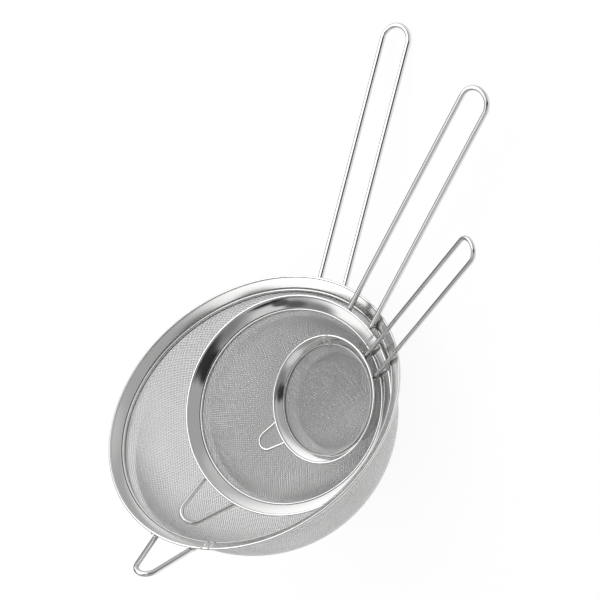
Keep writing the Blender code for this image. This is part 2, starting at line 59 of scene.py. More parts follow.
# What the steel reflects, each panel or gap laid over those before it: azimuth from the camera's side towards
# +X, height, outer and inner radius, all in degrees, and light
STUDIO_PANELS = (
    (83, 78.5, 37.9, 14.7, 1.35),
    (129, 46.9, 54.1, 15.4, 1.37),
    (-140, 62.9, 19.5, 7.1, 1.30),
    (-62, 49.7, 17.4, 5.7, 0.80),
    (179, 31.2, 22.7, 6.8, 0.20),
    (178, 1.1, 22.5, 10.5, 0.07),
    (150, -8, 24, 14, 0.05),
    (70, 10.4, 18.7, 6.2, 0.64),
    (-10, 49.3, 18.4, 5.3, 0.25),
    (5, 43.7, 14.6, 4.6, 0.04),
    (-110, 53.8, 15.6, 3.4, 0.28),
    (-85, 58.3, 8.7, 2.9, 0.12),
    (-67, 61.2, 5.7, 4.1, 0.10),
    (5, 67, 11.5, 7, 1.30),
    (-36, 69.0, 12.7, 10.1, 0.02),
    (0, -8, 13, 10, 0.04),
    (0, 7, 13, 10, 0.03),
    (0, 28.8, 14.8, 8.2, 0.03),
)

# Name, description and kind of each size of a sieve
SIEVE_SIZES = {
    "rim_diameter": ("Rim diameter", "Across the outside of the rolled lip", "LENGTH"),
    "rim_width": ("Rim width", "From the middle of the lip to the inner edge, in plan", "LENGTH"),
    "rim_fall": ("Rim fall", "Drop of the rim from its lip to its inner edge", "LENGTH"),
    "skirt_height": ("Skirt height", "From the rim's inner edge to where the mesh turns inwards", "LENGTH"),
    "skirt_trim": ("Skirt trim", "How far the turned-down sheet ends above that turn", "LENGTH"),
    "bowl_radius": ("Bowl radius", "Radius of the bowl's round bottom, at the middle of the mesh", "LENGTH"),
    "bowl_depth": ("Bowl depth", "From the lip down to the bottom of the bowl", "LENGTH"),
    "handle_length": ("Handle length", "From the lip to the end of the loop", "LENGTH"),
    "leg_spacing": ("Leg spacing", "Between the two legs of the handle", "LENGTH"),
    "handle_rise": ("Handle rise", "Angle of the handle above the plane of the rim", "ANGLE"),
    "handle_wire": ("Handle wire", "Diameter of the handle's wire", "LENGTH"),
    "hook_width": ("Hook width", "Between the hook's legs where they pass the lip", "LENGTH"),
    "hook_reach": ("Hook reach", "From the lip to the end of the hook", "LENGTH"),
    "hook_rise": ("Hook rise", "Angle of the hook above the plane of the rim", "ANGLE"),
    "hook_tip_radius": ("Hook tip radius", "Radius of the hook's round end", "LENGTH"),
    "hook_wire": ("Hook wire", "Diameter of the hook's wire", "LENGTH"),
    "lap_angle": ("Lap place", "Turn from the handle to the lapped joint of the rim's strip", "ANGLE"),
    "weave_turn": ("Weave turn", "Turn of the wire cloth about the axis", "ANGLE"),
    "groove_width": ("Groove width", "Width of the groove pressed along the rim's inner edge", "LENGTH"),
    "bead_height": ("Bead height", "How far the bead beside the groove stands out", "LENGTH"),
    "rim_roughness": ("Rim roughness", "Roughness of the rim's polish", "FACTOR"),
}
# Lengths in metres, angles in degrees
SIEVE_DEFAULTS = {
    "large": dict(
        rim_diameter=0.200, rim_width=0.0073, rim_fall=0.00505, skirt_height=0.00715, skirt_trim=0.0051,
        bowl_radius=0.0903, bowl_depth=0.0921, handle_length=0.168, leg_spacing=0.0202,
        handle_rise=27.7, handle_wire=0.0035, hook_width=0.0290, hook_reach=0.0300,
        hook_rise=22.5, hook_tip_radius=0.0078, hook_wire=0.0035, lap_angle=195, weave_turn=31,
        groove_width=0.0016, bead_height=0.00004, rim_roughness=0.20),
    "medium": dict(
        rim_diameter=0.142, rim_width=0.0080, rim_fall=0.0045, skirt_height=0.0032, skirt_trim=0.0013,
        bowl_radius=0.0600, bowl_depth=0.0672, handle_length=0.1716, leg_spacing=0.0198,
        handle_rise=23.6, handle_wire=0.0035, hook_width=0.0277, hook_reach=0.0274,
        hook_rise=26.1, hook_tip_radius=0.0082, hook_wire=0.0032, lap_angle=345, weave_turn=12,
        groove_width=0.0010, bead_height=0.00032, rim_roughness=0.07),
    "small": dict(
        rim_diameter=0.082, rim_width=0.0052, rim_fall=0.0038, skirt_height=0.0026, skirt_trim=0.0011,
        bowl_radius=0.0308, bowl_depth=0.0421, handle_length=0.1393, leg_spacing=0.0152,
        handle_rise=21.8, handle_wire=0.0030, hook_width=0.0157, hook_reach=0.0171,
        hook_rise=9.4, hook_tip_radius=0.0058, hook_wire=0.0020, lap_angle=61, weave_turn=20,
        groove_width=0.0005, bead_height=0.00004, rim_roughness=0.10),
}


def length(name, description, default):
    """A length property in metres."""
    return FloatProperty(name=name, description=description, default=default, min=0.0, precision=5,
                         subtype="DISTANCE", unit="LENGTH")


def angle(name, description, default):
    """An angle property in radians, shown in degrees."""
    return FloatProperty(name=name, description=description, default=default, subtype="ANGLE")


def share(name, description, default):
    """A property between 0 and 1."""
    return FloatProperty(name=name, description=description, default=default, min=0.0, max=1.0,
                         subtype="FACTOR")


def colour(name, description, default):
    """A linear colour property."""
    return FloatVectorProperty(name=name, description=description, default=default, size=3, min=0.0, max=1.0,
                               subtype="COLOR")


def direction(name, description, default):
    """A direction property in the shared frame."""
    return FloatVectorProperty(name=name, description=description, default=default, size=3,
                               subtype="DIRECTION")


def place(name, description, default):
    """A point in the shared frame, in metres."""
    return FloatVectorProperty(name=name, description=description, default=default, size=3, subtype="XYZ",
                               unit="LENGTH")


def group(kind, name, description):
    """A group of properties."""
    return PointerProperty(type=kind, name=name, description=description)


def sieve_group(sieve):
    """PropertyGroup class with the sizes of one sieve."""
    fields = {}
    for key, (name, description, kind) in SIEVE_SIZES.items():
        default = SIEVE_DEFAULTS[sieve][key]
        if kind == "LENGTH":
            fields[key] = length(name, description, default)
        elif kind == "ANGLE":
            fields[key] = angle(name, description, math.radians(default))
        else:
            fields[key] = share(name, description, default)
    return type(f"{sieve.title()}SieveSizes", (PropertyGroup,), {"__annotations__": fields})


LargeSieveSizes, MediumSieveSizes, SmallSieveSizes = (sieve_group(sieve) for sieve in SIEVES)


class SheetSizes(PropertyGroup):
    """Sheet, wire cloth and welds, alike on all three sieves."""

    sheet: length("Sheet", "Thickness of the rim's and the clamp ring's sheet", 0.0006)
    lip_radius: length("Lip radius", "Radius of the rolled lip", 0.0008)
    corner_radius: length("Corner radius", "Bend between rim and skirt, at the sheet's middle", 0.0008)
    crown: length("Crown", "How far the sloping rim stands up in its middle", 0.00016)
    groove_depth: length("Groove depth", "Depth of the groove along the rim's inner edge", 0.00042)
    # Painted shade: height of the dark line painted along the skirt's lower edge
    edge_line: length("Edge line", "Height of the dark line along the skirt's lower edge", 0.0009)
    lap_length: length("Lap length", "Length of the lapped joint round the rim", 0.0066)
    lap_height: length("Lap height", "How far the two ridges of the lapped joint stand out", 0.00045)
    seat_gap: length("Seat gap", "Room between touching pieces", 0.0003)
    hem_drop: length("Hem drop", "From the rim's inner edge down to the edge of the mesh", 0.0006)
    clamp_height: length("Clamp height", "Height of the clamp ring", 0.0026)
    cad_mesh: length("Mesh shell", "Thickness of the CAD shell that the wire cloth stands for", 0.0006)
    mesh_wire: length("Mesh wire", "Diameter of the wires of the cloth", 0.00041)
    mesh_pitch: length("Mesh pitch", "From one wire of the cloth to the next", 0.00132)
    wander: length("Mesh wander", "How far a wire of the cloth strays from its line", 0.00009)
    weld_radius: length("Weld radius", "Half the width of a weld bead", 0.0008)
    weld_length: length("Weld length", "Length of a weld bead", 0.0036)
    root_bend: length("Root bend", "Radius of the bend of a wire under the lip", 0.0040)


class SteelFinish(PropertyGroup):
    """Colours and roughness of the steels."""

    polished: colour("Polished steel", "Colour of the rims", (0.74, 0.74, 0.735))
    wire: colour("Bright wire", "Colour of handles and hooks", (0.72, 0.72, 0.715))
    cloth: colour("Wire cloth", "Colour of the mesh", (0.92, 0.92, 0.915))
    clamp: colour("Clamp steel", "Colour of the clamp rings", (0.62, 0.62, 0.615))
    weld: colour("Weld steel", "Colour of the weld beads", (0.52, 0.52, 0.515))
    heat: colour("Heat tint", "Straw tint round the welds", (0.50, 0.48, 0.45))
    wire_roughness: share("Wire roughness", "Roughness of handles and hooks", 0.09)
    cloth_roughness: share("Cloth roughness", "Roughness of the mesh", 0.34)
    clamp_roughness: share("Clamp roughness", "Roughness of the clamp rings", 0.26)
    weld_roughness: share("Weld roughness", "Roughness of the weld beads", 0.38)


class StudioSizes(PropertyGroup):
    """Floor, light and camera."""

    floor: colour("Floor", "Colour of the floor", (0.93, 0.93, 0.93))
    floor_size: length("Floor size", "Side of the square floor", 1.0)
    floor_white: share("Floor white", "Share of plain white in the floor; the rest keeps the shadow", 0.92)
    grey: share("Studio grey", "Light between the studio's panels, as the steel reflects it", 0.46)
    key_power: FloatProperty(name="Key light", description="Power of the soft lamp above", default=6.5,
                             subtype="POWER", unit="POWER")
    key_size: length("Key size", "Diameter of the lamp", 1.6)
    key_place: place("Key place", "Middle of the lamp", (0.77, 0.54, 1.77))
    key_target: place("Key target", "Point that the lamp faces", (0.05, 0.0, 0.0))
    camera_target: place("Target", "Point in the middle of the picture", (0.0701, -0.0153, 0.0684))
    camera_back: direction("Camera side", "From the target to the camera", (0.0397, -0.7932, 0.6077))
    camera_up: direction("Camera up", "Upwards in the picture", (0.9987, 0.0514, 0.0017))
    camera_distance: length("Camera distance", "From the target to the camera", 1.8)
    camera_lens: FloatProperty(name="Lens", description="Focal length on a 36 mm sensor", default=173.1,
                               unit="CAMERA")


class SieveSet(PropertyGroup):
    """Everything that can be changed on the sieves and their studio."""

    large: group(LargeSieveSizes, "Large sieve", "Sizes of the large sieve")
    medium: group(MediumSieveSizes, "Medium sieve", "Sizes of the medium sieve")
    small: group(SmallSieveSizes, "Small sieve", "Sizes of the small sieve")
    sheet: group(SheetSizes, "Sheet and cloth", "Sizes alike on all three")
    finish: group(SteelFinish, "Steel", "Colours and roughness")
    studio: group(StudioSizes, "Studio", "Floor, light and camera")
    ring_facets: IntProperty(name="Ring facets", description="Facets round the large rim", default=360,
                             min=48)
    clamp_facets: IntProperty(name="Clamp facets", description="Facets round the large clamp ring",
                              default=260, min=48)


# Places on a sieve

def unit(vector):
    """The vector, or each row of an array, divided by its length."""
    vector = np.asarray(vector, float)
    return vector / np.linalg.norm(vector, axis=-1, keepdims=True)


def node_points(node):
    """Different vertices of a CAD node, one row each, in the shared frame."""
    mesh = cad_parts[node].data
    flat = np.empty(3 * len(mesh.vertices))
    mesh.vertices.foreach_get("co", flat)
    return np.unique(flat.reshape(-1, 3).round(7), axis=0)


def sieve_axes(sieve, s):
    """Local frame of a sieve as 3 axes and an origin, read from its CAD nodes.

    Z is the direction in which the rim's points spread least, away from the bowl. X points to the middle of
    the handle. The origin is on the rim's axis, its fall and its skirt's height above its lowest point.
    """
    rim = node_points(f"{sieve}_rim_band")
    middle = rim.mean(axis=0)
    z = np.linalg.svd(rim - middle, full_matrices=False)[2][2]
    z *= np.sign((middle - node_points(f"{sieve}_mesh_bowl").mean(axis=0)) @ z)
    x = node_points(f"{sieve}_handle").mean(axis=0) - middle
    x = unit(x - (x @ z) * z)
    height = ((rim - middle) @ z).min() + s.rim_fall + s.skirt_height
    return np.stack([x, np.cross(z, x), z]), middle + height * z


def placed(sieve, s, points):
    """Local points of a sieve in the shared frame: origin + x X + y Y + z Z."""
    axes, origin = sieve_axes(sieve, s)
    return points @ axes + origin


def lip_circle(s, sheet):
    """Radius of the circle through the middle of the lip."""
    return s.rim_diameter / 2 - sheet.lip_radius


def inner_radius(s, sheet):
    """Radius of the skirt, at the middle of its sheet."""
    return lip_circle(s, sheet) - s.rim_width


def slope(s):
    """Slope of the rim, down towards the bowl."""
    return math.atan2(s.rim_fall, s.rim_width)


def hem_radius(s, sheet):
    """Radius of the mesh's hem: skirt, half its sheet, the seat gap and half the CAD shell."""
    return inner_radius(s, sheet) + sheet.sheet / 2 + sheet.seat_gap + sheet.cad_mesh / 2


def clamp_inside(s, sheet):
    """Inner radius of the clamp ring round the hem."""
    return hem_radius(s, sheet) + sheet.cad_mesh / 2 + sheet.seat_gap


def wire_below(wire, sheet):
    """Depth of a welded wire's middle under the sheet's middle: half a wire, the lip and the seat gap."""
    return wire / 2 + sheet.lip_radius + sheet.seat_gap


def under_rim(s, sheet, x, y, below):
    """Point under the sloping rim at plan place x, y and at a depth square to the sheet's middle."""
    fall = (lip_circle(s, sheet) - math.hypot(x, y)) * math.tan(slope(s))
    return np.array([x, y, -fall - below / math.cos(slope(s))])


def bend_under_lip(s, sheet, wire, rise):
    """Where a wire bends as it passes under the lip: distance out from the lip's circle, and height."""
    middle = (slope(s) + rise) / 2
    reach = wire_below(wire, sheet) / math.cos((slope(s) - rise) / 2)
    return reach * math.sin(middle), -reach * math.cos(middle)


def root_radius(s, sheet, wire):
    """Distance from the axis to the inner end of a welded wire, clear of the clamp ring."""
    clear = clamp_inside(s, sheet) + sheet.sheet + sheet.seat_gap * math.cos(slope(s))
    return clear + wire_below(wire, sheet) * math.sin(slope(s))


# Surfaces

def grid_quads(rows, columns, wrap_rows, wrap_columns):
    """Quads of a grid of points, as corner numbers, with the grid steps (row, column) of each corner."""
    i, j = np.meshgrid(np.arange(rows if wrap_rows else rows - 1),
                       np.arange(columns if wrap_columns else columns - 1), indexing="ij")
    corners = [np.stack([i + a, j + b], -1) for a, b in ((0, 0), (1, 0), (1, 1), (0, 1))]
    steps = np.stack(corners, -2).reshape(-1, 4, 2)
    return steps[..., 0] % rows * columns + steps[..., 1] % columns, steps


def outline(middle, half):
    """Outline of a sheet's section: the middle line moved half a sheet to each side, with a round far end.

    Each point moves along the normal of the line, which is its direction turned a quarter. The first point of
    both sides stays open, for the lip. Returns the right side going out, the round end and the left side
    coming back.
    """
    along = unit(np.gradient(middle, axis=0))
    normal = np.stack([-along[:, 1], along[:, 0]], axis=1)
    turn = np.linspace(-math.pi / 2, math.pi / 2, 9)[1:-1, None]
    end = middle[-1] + half * (np.cos(turn) * along[-1] + np.sin(turn) * normal[-1])
    return middle - half * normal, end, (middle + half * normal)[::-1]


def hill(where, middle, half):
    """Squared cosine: 1 at the middle, falling to 0 at a half width on each side."""
    return np.cos(np.clip((where - middle) / half, -1, 1) * math.pi / 2) ** 2


def rim_section(s, sheet):
    """Section (r, z) of the rim, the share of the lap's height that each point takes, and its painted shade.

    The middle line runs from the lip down the crowned slope, round the corner's arc and down the skirt. The
    crown is a half sine across the slope. The lip is an arc round its centre from the sheet's lower face to
    its upper one. The upper face sinks into the groove before the corner and rises to the bead on it, both
    squared cosines of the distance along the face. Painted shade darkens the groove and the skirt's
    lower edge.
    """
    tilt, half = slope(s), sheet.sheet / 2
    lip = np.array([lip_circle(s, sheet), 0.0])
    corner = np.array([inner_radius(s, sheet), -s.rim_fall])
    cut = sheet.corner_radius * math.tan(math.pi / 4 - tilt / 2)
    inward = np.array([-math.cos(tilt), -math.sin(tilt)])
    upward = np.array([-math.sin(tilt), math.cos(tilt)])
    start, stop = lip + inward * sheet.lip_radius, corner - inward * cut
    t = np.append(np.linspace(0, 0.6, 8), np.linspace(0.6, 1, 25)[1:])[:, None]
    slant = start + t * (stop - start) + sheet.crown * np.sin(math.pi * t) * upward
    turn = np.linspace(math.pi / 2 + tilt, math.pi, 10)[1:, None]
    centre = corner + np.array([sheet.corner_radius, -cut])
    arc = centre + sheet.corner_radius * np.concatenate([np.cos(turn), np.sin(turn)], axis=1)
    drop = np.linspace(0, 1, 12)[1:, None]
    skirt_end = np.array([corner[0], corner[1] - s.skirt_height + s.skirt_trim + half])
    skirt = arc[-1] + drop * (skirt_end - arc[-1])
    middle = np.vstack([slant, arc, skirt])
    inside, end, outside = outline(middle, half)
    run = np.append(0.0, np.cumsum(np.linalg.norm(np.diff(middle, axis=0), axis=1)))
    run = (run - run[len(slant) - 1])[:, None]
    bend = sheet.corner_radius * (math.pi / 2 - tilt)
    groove = hill(run, -s.groove_width / 2, s.groove_width / 2)
    bead_top = hill(run, bend / 2, bend / 2 + sheet.corner_radius / 2)
    inside = inside + unit(inside - middle) * (s.bead_height * bead_top - sheet.groove_depth * groove)
    join = math.asin(half / sheet.lip_radius)
    round_lip = np.linspace(math.pi + tilt + join, 3 * math.pi + tilt - join, 25)[:, None]
    bead = lip + sheet.lip_radius * np.concatenate([np.cos(round_lip), np.sin(round_lip)], axis=1)
    section = np.vstack([bead, inside, end, outside])
    upper_lip = np.clip((round_lip[:, 0] - math.pi - tilt) / math.pi - 0.5, 0, 1)
    on_top = np.concatenate([upper_lip, np.ones(len(inside)), np.linspace(1, 0, len(end)),
                             np.zeros(len(outside))])
    # Painted shade along the skirt's lower edge, where it meets the mesh
    low_edge_shade = np.clip((run - run[-1] + sheet.edge_line) / (sheet.edge_line / 3), 0, 1)
    # Painted shade for each section point: the groove, the skirt's lower edge and its end; none on lip or
    # outside
    painted_shade = np.concatenate([np.zeros(len(bead)), np.maximum(groove, low_edge_shade)[:, 0], np.ones(len(end)),
                             np.zeros(len(outside))])
    return section, on_top, painted_shade


def ring_turns(facets, lap_at, lap_half):
    """Turns round a ring, even but with close steps at both edges of the lap."""
    even = np.linspace(0, 2 * math.pi, facets, endpoint=False)
    fine = np.linspace(-1.6, 1.6, 65) * lap_half + lap_at
    return np.unique(np.concatenate([even, fine % (2 * math.pi)]).round(7))


def ring_surface(section, turns, lift):
    """Closed ring: a section point (r, z), moved by its lift at turn t, goes to (r cos t, r sin t, z)."""
    r, z = np.moveaxis(np.broadcast_to(section[None] + lift, (len(turns), len(section), 2)), -1, 0)
    return np.stack([r * np.cos(turns)[:, None], r * np.sin(turns)[:, None], z], -1)


def ring_uv(section, turns, steps):
    """UV in metres: the turn times the ring's largest radius, and the distance round the section."""
    u = np.append(turns, turns[0] + 2 * math.pi) * section[:, 0].max()
    around = np.linalg.norm(np.diff(section, axis=0, append=section[:1]), axis=1)
    v = np.append(0.0, np.cumsum(around))
    return np.stack([u[steps[..., 0]], v[steps[..., 1]]], -1)


def rounded_path(corners, radii, facets=14):
    """Points along a path of straight stretches whose corners are arcs.

    At a corner that turns by angle T with radius R, the arc starts R tan(T/2) before it. A point of the arc
    after angle a is the start + R (sin a times the old direction + (1 - cos a) times the sideways direction
    to the new one).
    """
    corners = np.asarray(corners, float)
    pieces = [corners[:1]]
    for before, at, after, radius in zip(corners, corners[1:], corners[2:], radii):
        old, new = unit(at - before), unit(after - at)
        angle = math.acos(np.clip(old @ new, -1, 1))
        sideways = unit(new - math.cos(angle) * old)
        a = np.linspace(0, angle, facets)[:, None]
        start = at - old * radius * math.tan(angle / 2)
        pieces.append(start + radius * (np.sin(a) * old + (1 - np.cos(a)) * sideways))
    path = np.vstack(pieces + [corners[-1:]])
    apart = np.linalg.norm(np.diff(path, axis=0), axis=1) > 1e-6
    return path[np.append(True, apart)]


def tube_surface(path, radius, sides=24):
    """Round tube along a path, with domed ends.

    A ring point at angle a is the path's point + radius (cos a times N + sin a times B). N is the local Z
    axis made square to the path's direction and B is square to both. Each end gets four smaller rings on a
    half sphere, and then one last point.
    """
    along = unit(np.gradient(path, axis=0))
    dome = np.radians([88, 70, 45, 20])
    first = path[0] - along[0] * (radius[0] * np.sin(dome))[:, None]
    last = path[-1] + along[-1] * (radius[-1] * np.sin(dome[::-1]))[:, None]
    line = np.vstack([first, path, last])
    ways = np.vstack([np.tile(along[0], (4, 1)), along, np.tile(along[-1], (4, 1))])
    sizes = np.concatenate([radius[0] * np.cos(dome), radius, radius[-1] * np.cos(dome[::-1])])
    normal = unit(np.array([0.0, 0.0, 1.0]) - ways * ways[:, 2:])
    across = np.cross(ways, normal)
    a = np.linspace(0, 2 * math.pi, sides, endpoint=False)[None, :, None]
    rings = line[:, None] + sizes[:, None, None] * (np.cos(a) * normal[:, None] + np.sin(a) * across[:, None])
    poles = np.stack([path[0] - along[0] * radius[0], path[-1] + along[-1] * radius[-1]])
    quads, steps = grid_quads(len(line), sides, False, True)
    k = np.arange(sides)
    count = len(line) * sides
    start_fan = np.stack([np.full(sides, count), k, (k + 1) % sides], -1)
    far = (len(line) - 1) * sides
    end_fan = np.stack([np.full(sides, count + 1), far + (k + 1) % sides, far + k], -1)
    run = np.append(0.0, np.cumsum(np.linalg.norm(np.diff(line, axis=0), axis=1)))
    v = np.arange(sides + 1) / sides * 2 * math.pi * radius.max()
    uv = [np.stack([run[steps[..., 0]], v[steps[..., 1]]], -1)]
    for at in (run[0], run[-1]):
        uv.append(np.stack([np.full((sides, 3), at), np.stack([v[k], v[k], v[k + 1]], -1)], -1))
    points = np.vstack([rings.reshape(-1, 3), poles])
    return points, [quads, start_fan, end_fan], uv


def handle_path(s, sheet):
    """Middle line of the handle: root under the rim, bend under the lip, leg, half circle, and mirrored."""
    y = s.leg_spacing / 2
    out, z = bend_under_lip(s, sheet, s.handle_wire, s.handle_rise)
    root_x = math.sqrt(root_radius(s, sheet, s.handle_wire) ** 2 - y * y)
    root = under_rim(s, sheet, root_x, y, wire_below(s.handle_wire, sheet))
    bend = np.array([math.sqrt(lip_circle(s, sheet) ** 2 - y * y) + out, y, z])
    end = bend + np.array([math.cos(s.handle_rise), 0, math.sin(s.handle_rise)]) * s.handle_length
    half = np.stack([root, bend, end])
    corners = np.vstack([half, half[::-1] * [1, -1, 1]])
    return rounded_path(corners, [sheet.root_bend, y, y, sheet.root_bend])


def hook_corners(s, sheet):
    """Corners of the hook's V: root, bend under the lip and point of the V, on one side."""
    half_width = s.hook_width / 2
    circle = lip_circle(s, sheet)
    lip = np.array([-math.sqrt(circle ** 2 - half_width ** 2), half_width])
    centre = np.array([-(s.rim_diameter / 2 + s.hook_reach - s.hook_wire / 2 - s.hook_tip_radius), 0.0])
    lean = math.asin(min(1.0, s.hook_tip_radius / np.linalg.norm(centre - lip)))
    heading = math.atan2(*(centre - lip)[::-1]) - lean
    along = np.array([math.cos(heading), math.sin(heading)])
    out, z = bend_under_lip(s, sheet, s.hook_wire, s.hook_rise)
    bend = lip + along * out
    square = max(0.5, along @ unit(lip))
    skew = math.sqrt(1 - square * square)
    root = lip - along * (circle - root_radius(s, sheet, s.hook_wire) - skew * s.hook_wire / 2) / square
    point = bend - along * bend[1] / along[1]
    raised = z + (bend[0] - point[0]) * math.tan(s.hook_rise)
    root = under_rim(s, sheet, *root, wire_below(s.hook_wire, sheet))
    return np.stack([root, [*bend, z], [*point, raised]])


def hook_path(s, sheet):
    """Middle line of the hook: a leg on each side of a V with a round point."""
    half = hook_corners(s, sheet)
    corners = np.vstack([half, half[1::-1] * [1, -1, 1]])
    return rounded_path(corners, [sheet.root_bend, s.hook_tip_radius, sheet.root_bend])


def weld_line(s, sheet, root, lip, wire, side):
    """Ends of a weld bead that lies beside a wire's root, under the rim."""
    below = sheet.sheet / 2 + sheet.seat_gap + sheet.weld_radius
    apart = wire / 2 + sheet.weld_radius + sheet.seat_gap
    drop = wire_below(wire, sheet) - below
    sideways = math.sqrt(max(apart * apart - drop * drop, (wire / 2) ** 2)) + sheet.seat_gap
    along = unit(lip - root)
    start = root + np.array([-along[1], along[0]]) * side * sideways
    stop = start + along * sheet.weld_length * math.cos(slope(s))
    return np.stack([under_rim(s, sheet, *start, below), under_rim(s, sheet, *stop, below)])


def weld_surface(ends, size):
    """Weld bead: a tube between its ends whose radius swells in the middle and ripples five times."""
    t = np.linspace(0, 1, 41)
    swell = 0.72 + 0.28 * np.sin(math.pi * t) ** 0.7
    ripple = 1 - 0.09 * np.abs(np.sin(5 * math.pi * t))
    path = ends[0] + (0.12 + 0.76 * t)[:, None] * (ends[1] - ends[0])
    return tube_surface(path, size * swell * ripple, 16)


def bowl_line(s, sheet):
    """Middle line of the wire cloth from the bottom of the bowl to the edge of its hem: (r, z) at even steps.

    It is an arc of the bowl's radius, then a shoulder out to the hem, then straight up round the skirt. The
    corners are eased by a running mean over 3 mm, on a line that is mirrored at the bottom and drawn out at
    the hem.
    """
    step, window = 0.0001, 31
    hem = hem_radius(s, sheet)
    hem_bottom = -s.rim_fall - s.skirt_height - sheet.seat_gap
    wall_top = hem_bottom - (hem - s.bowl_radius)
    equator = s.bowl_radius - s.bowl_depth
    polar = np.linspace(0, math.pi / 2 - math.asin(max(0.0, (equator - wall_top) / s.bowl_radius)), 400)
    line = np.stack([s.bowl_radius * np.sin(polar), equator - s.bowl_radius * np.cos(polar)], axis=1)
    wall = [(s.bowl_radius, wall_top)] if equator < wall_top else []
    line = np.vstack([line, wall + [(hem, hem_bottom), (hem, -s.rim_fall - sheet.hem_drop)]])
    run = np.append(0.0, np.cumsum(np.linalg.norm(np.diff(line, axis=0), axis=1)))
    even = np.arange(0, run[-1], step)
    r, z = np.interp(even, run, line[:, 0]), np.interp(even, run, line[:, 1])
    pad = window // 2
    r = np.concatenate([-r[pad:0:-1], r, np.full(pad, r[-1])])
    z = np.concatenate([z[pad:0:-1], z, z[-1] + step * np.arange(1, pad + 1)])
    mean = np.full(window, 1 / window)
    return even, np.convolve(r, mean, "valid"), np.convolve(z, mean, "valid")


def cloth_points(s, sheet, x, y, over):
    """Points of the wire cloth: plan place (x, y) of the flat cloth, pressed into the bowl.

    The distance from the middle of the flat cloth becomes the distance along the bowl's line from its bottom,
    and the direction stays. Each point then moves along the bowl's normal by over, to pass over or under the
    crossing wires.
    """
    even, r, z = bowl_line(s, sheet)
    out = np.hypot(x, y)
    turn = np.arctan2(y, x) + s.weave_turn
    slant = np.interp(out, even, np.gradient(r, even)), np.interp(out, even, np.gradient(z, even))
    size = np.hypot(*slant)
    radius = np.interp(out, even, r) - over * slant[1] / size
    height = np.interp(out, even, z) + over * slant[0] / size
    normal = np.stack([-slant[1] / size * np.cos(turn), -slant[1] / size * np.sin(turn), slant[0] / size], -1)
    return np.stack([radius * np.cos(turn), radius * np.sin(turn), height], -1), normal


def cloth_wires(s, sheet, crossways, part, parts):
    """One set of wires of the cloth, or one part of it: square tubes that pass over and under the other set.

    Wire i lies along x = i times the pitch, with a crossing at each y = j times the pitch. It stands in by
    half a wire where i + j is even and out where it is odd, and the crossing set does the opposite. The whole
    cloth lies so far in that its outer side is the CAD shell's. Three slow sine waves move the wires a little
    off their lines. Each crossing has a ring of four points: the normal and the sideways direction, both
    ways. The last array is painted light: 1 lit on the free side of a wire at a crossing, 0 painted shade
    on the covered side and a half on its flanks.
    """
    pitch = sheet.mesh_pitch
    reach = bowl_line(s, sheet)[0][-1]
    count = int(reach / pitch)
    numbers = np.array_split(np.arange(-count, count + 1), parts)[part]
    i, j = np.meshgrid(numbers, np.arange(-count, count + 1), indexing="ij")
    a, b = i * pitch, j * pitch
    waves = np.sin(b * 310 + i * 1.9) * 0.5 + np.sin(b * 95 + i * 0.21) + np.sin(a * 140) * 0.7
    a = a + sheet.wander * waves
    x, y = (b, a) if crossways else (a, b)
    inside = np.hypot(x, y) <= reach
    side = np.where((i + j) % 2 == 0, 1.0, -1.0) * (-1 if crossways else 1)
    edge = sheet.mesh_wire * 0.55
    over = side * sheet.mesh_wire / 2 + sheet.mesh_wire / 2 + edge - sheet.cad_mesh / 2
    middle, normal = cloth_points(s, sheet, x, y, over)
    along = unit(np.gradient(middle, axis=1))
    across = unit(np.cross(along, normal))
    normal = np.cross(across, along)
    ring = np.stack([normal, across, -normal, -across], axis=2) * edge + middle[:, :, None]
    number = np.full(inside.shape, -1)
    number[inside] = np.arange(inside.sum())
    start, stop = number[:, :-1], number[:, 1:]
    kept = (start >= 0) & (stop >= 0)
    start, stop = 4 * start[kept][:, None], 4 * stop[kept][:, None]
    k = np.arange(4)[None]
    tubes = np.stack([start + k, start + (k + 1) % 4, stop + (k + 1) % 4, stop + k], -1).reshape(-1, 4)
    first = inside & ~np.pad(inside, ((0, 0), (1, 0)))[:, :-1]
    last = inside & ~np.pad(inside, ((0, 0), (0, 1)))[:, 1:]
    caps = np.vstack([4 * number[first][:, None] + k[:, ::-1], 4 * number[last][:, None] + k])
    # Painted light and shade: 1 lit on the free side, 0 shaded on the covered side, a half on the flanks
    painted_light = 0.5 + side[..., None] * np.array([0.5, 0.0, -0.5, 0.0])
    return ring[inside].reshape(-1, 3), [tubes, caps], painted_light[inside].ravel()


def outward(points, faces):
    """Whether the faces point outwards: the solid that they close then has a positive volume."""
    middle = points.mean(axis=0)
    volume = sum(np.einsum("ij,ij->", points[f[:, 0]] - middle,
                           np.cross(points[f[:, k]] - middle, points[f[:, k + 1]] - middle))
                 for f in faces for k in range(1, f.shape[1] - 1))
    return volume > 0


